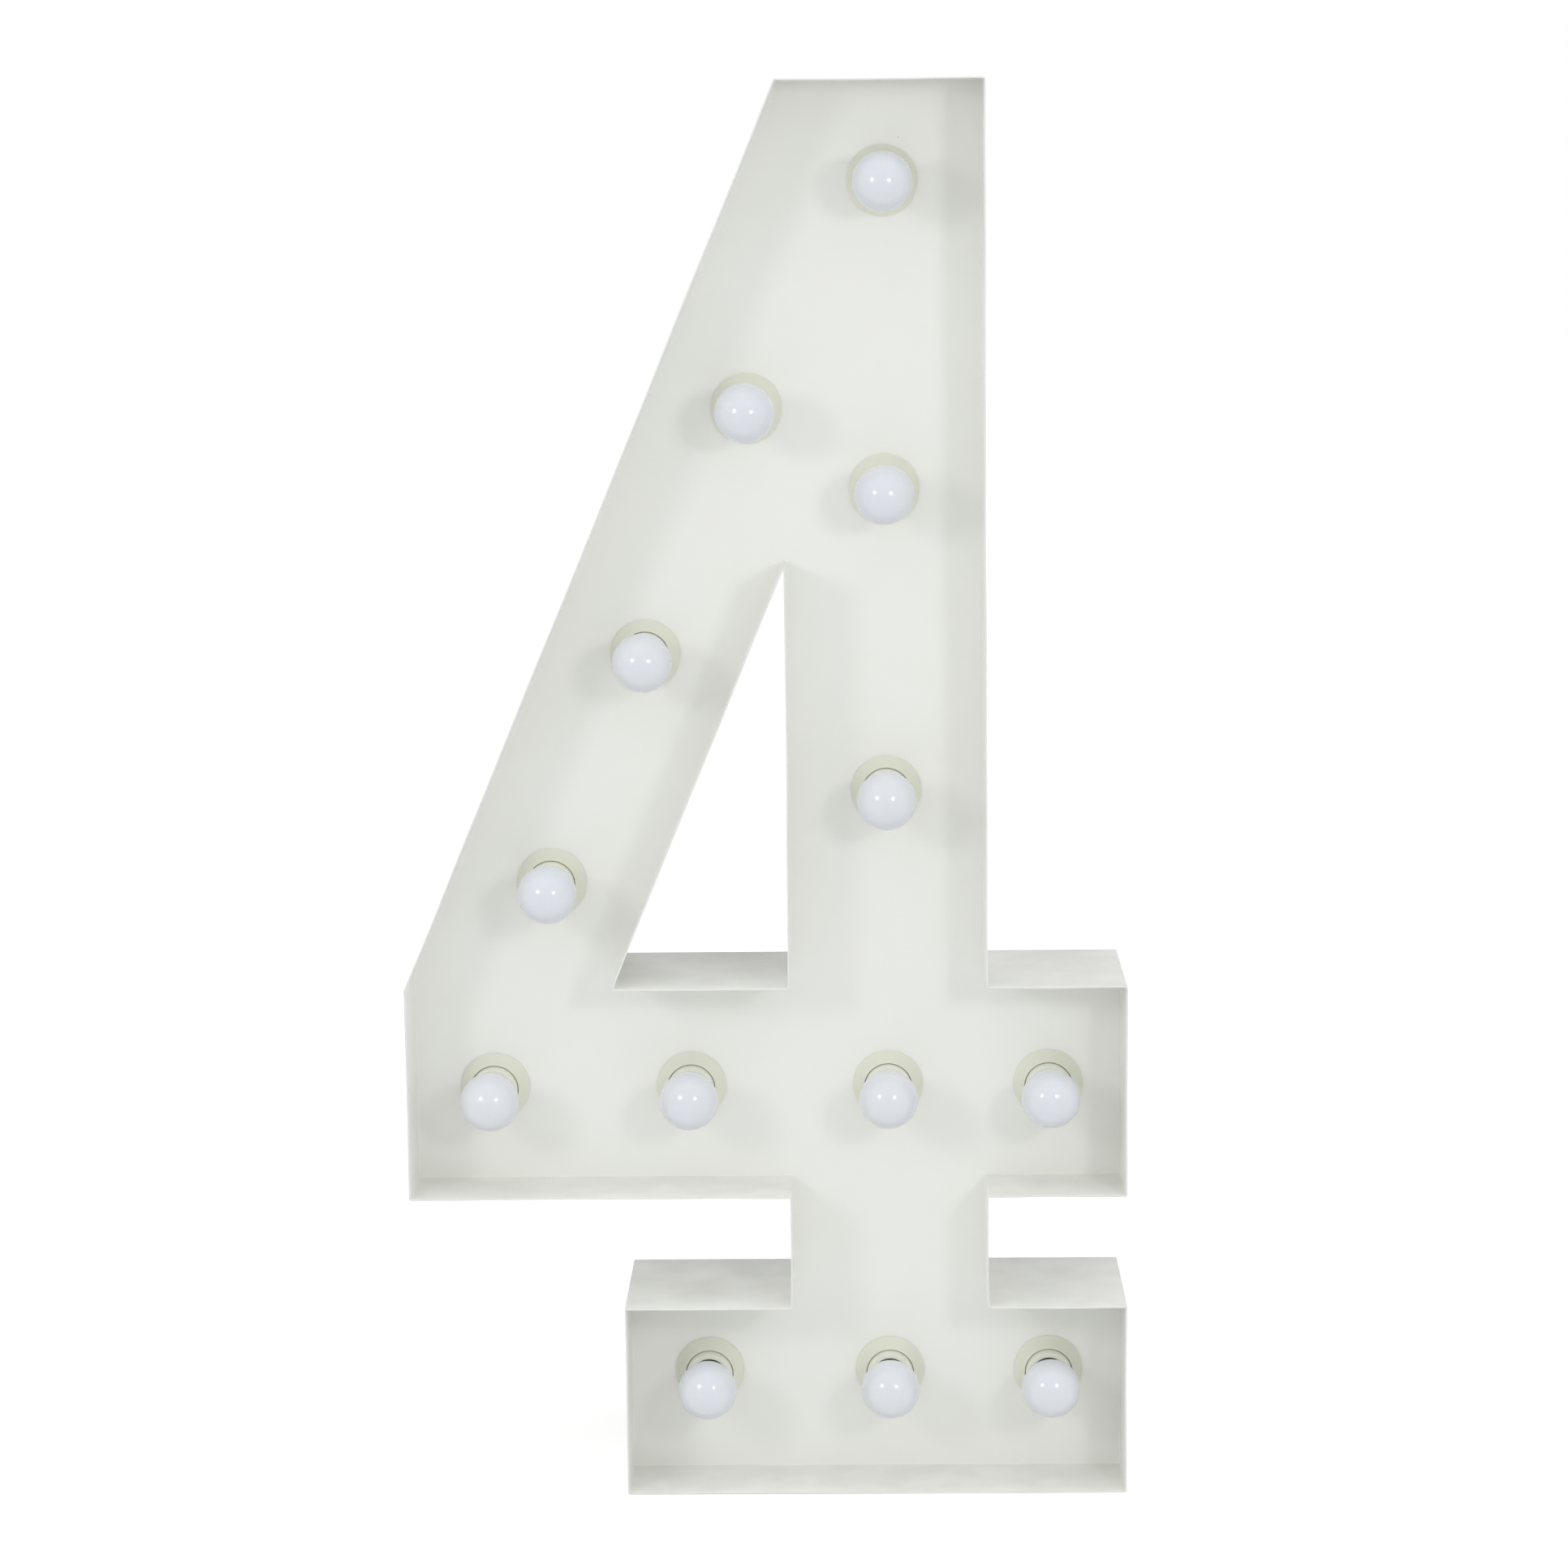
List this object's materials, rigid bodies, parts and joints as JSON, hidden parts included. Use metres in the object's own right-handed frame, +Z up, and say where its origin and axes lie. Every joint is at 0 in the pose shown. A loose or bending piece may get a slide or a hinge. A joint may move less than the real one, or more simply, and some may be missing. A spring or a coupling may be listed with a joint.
{
  "type": "light up marquee number",
  "caption": "Free-standing sheet metal figure four with a recessed panel of screw-in opal globe lamps, a rear cover, a power inlet and a rocker switch.",
  "frame": {"origin": "middle of the number's box in plan, at the floor that the base stands on", "axes": "+Z up, the lamps face -Y, +X to the right as the front is seen"},
  "size_m": [0.611, 0.1634, 1.2],
  "materials": {
    "case_paint": "satin cream white powder coat",
    "panel_paint": "satin cream white powder coat",
    "cover_paint": "satin cream white powder coat",
    "plated_steel": "bright zinc plate",
    "ivory_plastic": "satin ivory thermoplastic",
    "opal_globe": "glossy opal white diffuser",
    "cap_metal": "bright nickel plate",
    "black_plastic": "moulded black nylon",
    "rocker_plastic": "glossy red",
    "nickel_pins": "nickel plate",
    "brown_wire": "PVC insulation",
    "blue_wire": "PVC insulation",
    "green_wire": "PVC insulation"
  },
  "bodies": {
    "root": {"return_top_and_stem": "case_paint", "return_arm": "case_paint", "return_foot_right": "case_paint", "return_base": "case_paint", "return_foot_left": "case_paint", "return_bar_left": "case_paint", "return_diagonal": "case_paint", "return_counter": "case_paint", "bulb_panel": "panel_paint", "rear_cover": "cover_paint", "cover_frame": "plated_steel", "lamp_holder_01": "ivory_plastic", "lamp_holder_02": "ivory_plastic", "lamp_holder_03": "ivory_plastic", "lamp_holder_04": "ivory_plastic", "lamp_holder_05": "ivory_plastic", "lamp_holder_06": "ivory_plastic", "lamp_holder_07": "ivory_plastic", "lamp_holder_08": "ivory_plastic", "lamp_holder_09": "ivory_plastic", "lamp_holder_10": "ivory_plastic", "lamp_holder_11": "ivory_plastic", "lamp_holder_12": "ivory_plastic", "lamp_holder_13": "ivory_plastic", "wire_live": "brown_wire", "wire_neutral": "blue_wire", "wire_earth": "green_wire", "earth_stud": "plated_steel", "inlet_body": "black_plastic", "inlet_pin_live": "nickel_pins", "inlet_pin_neutral": "nickel_pins", "inlet_pin_earth": "nickel_pins", "switch_body": "black_plastic"},
    "bulb_01_base": {"bulb_01_cap": "cap_metal"},
    "bulb_01": {"bulb_01_globe": "opal_globe"},
    "bulb_02_base": {"bulb_02_cap": "cap_metal"},
    "bulb_02": {"bulb_02_globe": "opal_globe"},
    "bulb_03_base": {"bulb_03_cap": "cap_metal"},
    "bulb_03": {"bulb_03_globe": "opal_globe"},
    "bulb_04_base": {"bulb_04_cap": "cap_metal"},
    "bulb_04": {"bulb_04_globe": "opal_globe"},
    "bulb_05_base": {"bulb_05_cap": "cap_metal"},
    "bulb_05": {"bulb_05_globe": "opal_globe"},
    "bulb_06_base": {"bulb_06_cap": "cap_metal"},
    "bulb_06": {"bulb_06_globe": "opal_globe"},
    "bulb_07_base": {"bulb_07_cap": "cap_metal"},
    "bulb_07": {"bulb_07_globe": "opal_globe"},
    "bulb_08_base": {"bulb_08_cap": "cap_metal"},
    "bulb_08": {"bulb_08_globe": "opal_globe"},
    "bulb_09_base": {"bulb_09_cap": "cap_metal"},
    "bulb_09": {"bulb_09_globe": "opal_globe"},
    "bulb_10_base": {"bulb_10_cap": "cap_metal"},
    "bulb_10": {"bulb_10_globe": "opal_globe"},
    "bulb_11_base": {"bulb_11_cap": "cap_metal"},
    "bulb_11": {"bulb_11_globe": "opal_globe"},
    "bulb_12_base": {"bulb_12_cap": "cap_metal"},
    "bulb_12": {"bulb_12_globe": "opal_globe"},
    "bulb_13_base": {"bulb_13_cap": "cap_metal"},
    "bulb_13": {"bulb_13_globe": "opal_globe"},
    "rocker": {"switch_rocker": "rocker_plastic"}
  },
  "joints": [
    {"name": "bulb_01_travel", "type": "slide", "parent": "root", "child": "bulb_01_base", "axis": [0, -1, 0], "range_m": [0, 0.02896]},
    {"name": "bulb_01_turn", "type": "hinge", "parent": "bulb_01_base", "child": "bulb_01", "pos_m": [0.1034, 0.00125, 1.116], "axis": [0, -1, 0], "range_deg": [0, 2880]},
    {"name": "bulb_02_travel", "type": "slide", "parent": "root", "child": "bulb_02_base", "axis": [0, -1, 0], "range_m": [0, 0.02896]},
    {"name": "bulb_02_turn", "type": "hinge", "parent": "bulb_02_base", "child": "bulb_02", "pos_m": [-0.01219, 0.00125, 0.92711], "axis": [0, -1, 0], "range_deg": [0, 2880]},
    {"name": "bulb_03_travel", "type": "slide", "parent": "root", "child": "bulb_03_base", "axis": [0, -1, 0], "range_m": [0, 0.02896]},
    {"name": "bulb_03_turn", "type": "hinge", "parent": "bulb_03_base", "child": "bulb_03", "pos_m": [0.1034, 0.00125, 0.85847], "axis": [0, -1, 0], "range_deg": [0, 2880]},
    {"name": "bulb_04_travel", "type": "slide", "parent": "root", "child": "bulb_04_base", "axis": [0, -1, 0], "range_m": [0, 0.02896]},
    {"name": "bulb_04_turn", "type": "hinge", "parent": "bulb_04_base", "child": "bulb_04", "pos_m": [-0.10038, 0.00125, 0.71927], "axis": [0, -1, 0], "range_deg": [0, 2880]},
    {"name": "bulb_05_travel", "type": "slide", "parent": "root", "child": "bulb_05_base", "axis": [0, -1, 0], "range_m": [0, 0.02896]},
    {"name": "bulb_05_turn", "type": "hinge", "parent": "bulb_05_base", "child": "bulb_05", "pos_m": [-0.18377, 0.00125, 0.52276], "axis": [0, -1, 0], "range_deg": [0, 2880]},
    {"name": "bulb_06_travel", "type": "slide", "parent": "root", "child": "bulb_06_base", "axis": [0, -1, 0], "range_m": [0, 0.02896]},
    {"name": "bulb_06_turn", "type": "hinge", "parent": "bulb_06_base", "child": "bulb_06", "pos_m": [0.1034, 0.00125, 0.60093], "axis": [0, -1, 0], "range_deg": [0, 2880]},
    {"name": "bulb_07_travel", "type": "slide", "parent": "root", "child": "bulb_07_base", "axis": [0, -1, 0], "range_m": [0, 0.02896]},
    {"name": "bulb_07_turn", "type": "hinge", "parent": "bulb_07_base", "child": "bulb_07", "pos_m": [-0.2362, 0.00125, 0.3434], "axis": [0, -1, 0], "range_deg": [0, 2880]},
    {"name": "bulb_08_travel", "type": "slide", "parent": "root", "child": "bulb_08_base", "axis": [0, -1, 0], "range_m": [0, 0.02896]},
    {"name": "bulb_08_turn", "type": "hinge", "parent": "bulb_08_base", "child": "bulb_08", "pos_m": [-0.0664, 0.00125, 0.3434], "axis": [0, -1, 0], "range_deg": [0, 2880]},
    {"name": "bulb_09_travel", "type": "slide", "parent": "root", "child": "bulb_09_base", "axis": [0, -1, 0], "range_m": [0, 0.02896]},
    {"name": "bulb_09_turn", "type": "hinge", "parent": "bulb_09_base", "child": "bulb_09", "pos_m": [0.1034, 0.00125, 0.3434], "axis": [0, -1, 0], "range_deg": [0, 2880]},
    {"name": "bulb_10_travel", "type": "slide", "parent": "root", "child": "bulb_10_base", "axis": [0, -1, 0], "range_m": [0, 0.02896]},
    {"name": "bulb_10_turn", "type": "hinge", "parent": "bulb_10_base", "child": "bulb_10", "pos_m": [0.2413, 0.00125, 0.3434], "axis": [0, -1, 0], "range_deg": [0, 2880]},
    {"name": "bulb_11_travel", "type": "slide", "parent": "root", "child": "bulb_11_base", "axis": [0, -1, 0], "range_m": [0, 0.02896]},
    {"name": "bulb_11_turn", "type": "hinge", "parent": "bulb_11_base", "child": "bulb_11", "pos_m": [-0.0539, 0.00125, 0.088], "axis": [0, -1, 0], "range_deg": [0, 2880]},
    {"name": "bulb_12_travel", "type": "slide", "parent": "root", "child": "bulb_12_base", "axis": [0, -1, 0], "range_m": [0, 0.02896]},
    {"name": "bulb_12_turn", "type": "hinge", "parent": "bulb_12_base", "child": "bulb_12", "pos_m": [0.1034, 0.00125, 0.088], "axis": [0, -1, 0], "range_deg": [0, 2880]},
    {"name": "bulb_13_travel", "type": "slide", "parent": "root", "child": "bulb_13_base", "axis": [0, -1, 0], "range_m": [0, 0.02896]},
    {"name": "bulb_13_turn", "type": "hinge", "parent": "bulb_13_base", "child": "bulb_13", "pos_m": [0.2413, 0.00125, 0.088], "axis": [0, -1, 0], "range_deg": [0, 2880]},
    {"name": "rocker_tilt", "type": "hinge", "parent": "root", "child": "rocker", "pos_m": [0.154, 0.07665, 0.046], "axis": [1, 0, 0], "range_deg": [0, 16]}
  ],
  "couplings": [
    {"joint": "bulb_01_turn", "follows": "bulb_01_travel", "rad_per_m": 1735.7},
    {"joint": "bulb_02_turn", "follows": "bulb_02_travel", "rad_per_m": 1735.7},
    {"joint": "bulb_03_turn", "follows": "bulb_03_travel", "rad_per_m": 1735.7},
    {"joint": "bulb_04_turn", "follows": "bulb_04_travel", "rad_per_m": 1735.7},
    {"joint": "bulb_05_turn", "follows": "bulb_05_travel", "rad_per_m": 1735.7},
    {"joint": "bulb_06_turn", "follows": "bulb_06_travel", "rad_per_m": 1735.7},
    {"joint": "bulb_07_turn", "follows": "bulb_07_travel", "rad_per_m": 1735.7},
    {"joint": "bulb_08_turn", "follows": "bulb_08_travel", "rad_per_m": 1735.7},
    {"joint": "bulb_09_turn", "follows": "bulb_09_travel", "rad_per_m": 1735.7},
    {"joint": "bulb_10_turn", "follows": "bulb_10_travel", "rad_per_m": 1735.7},
    {"joint": "bulb_11_turn", "follows": "bulb_11_travel", "rad_per_m": 1735.7},
    {"joint": "bulb_12_turn", "follows": "bulb_12_travel", "rad_per_m": 1735.7},
    {"joint": "bulb_13_turn", "follows": "bulb_13_travel", "rad_per_m": 1735.7}
  ]
}
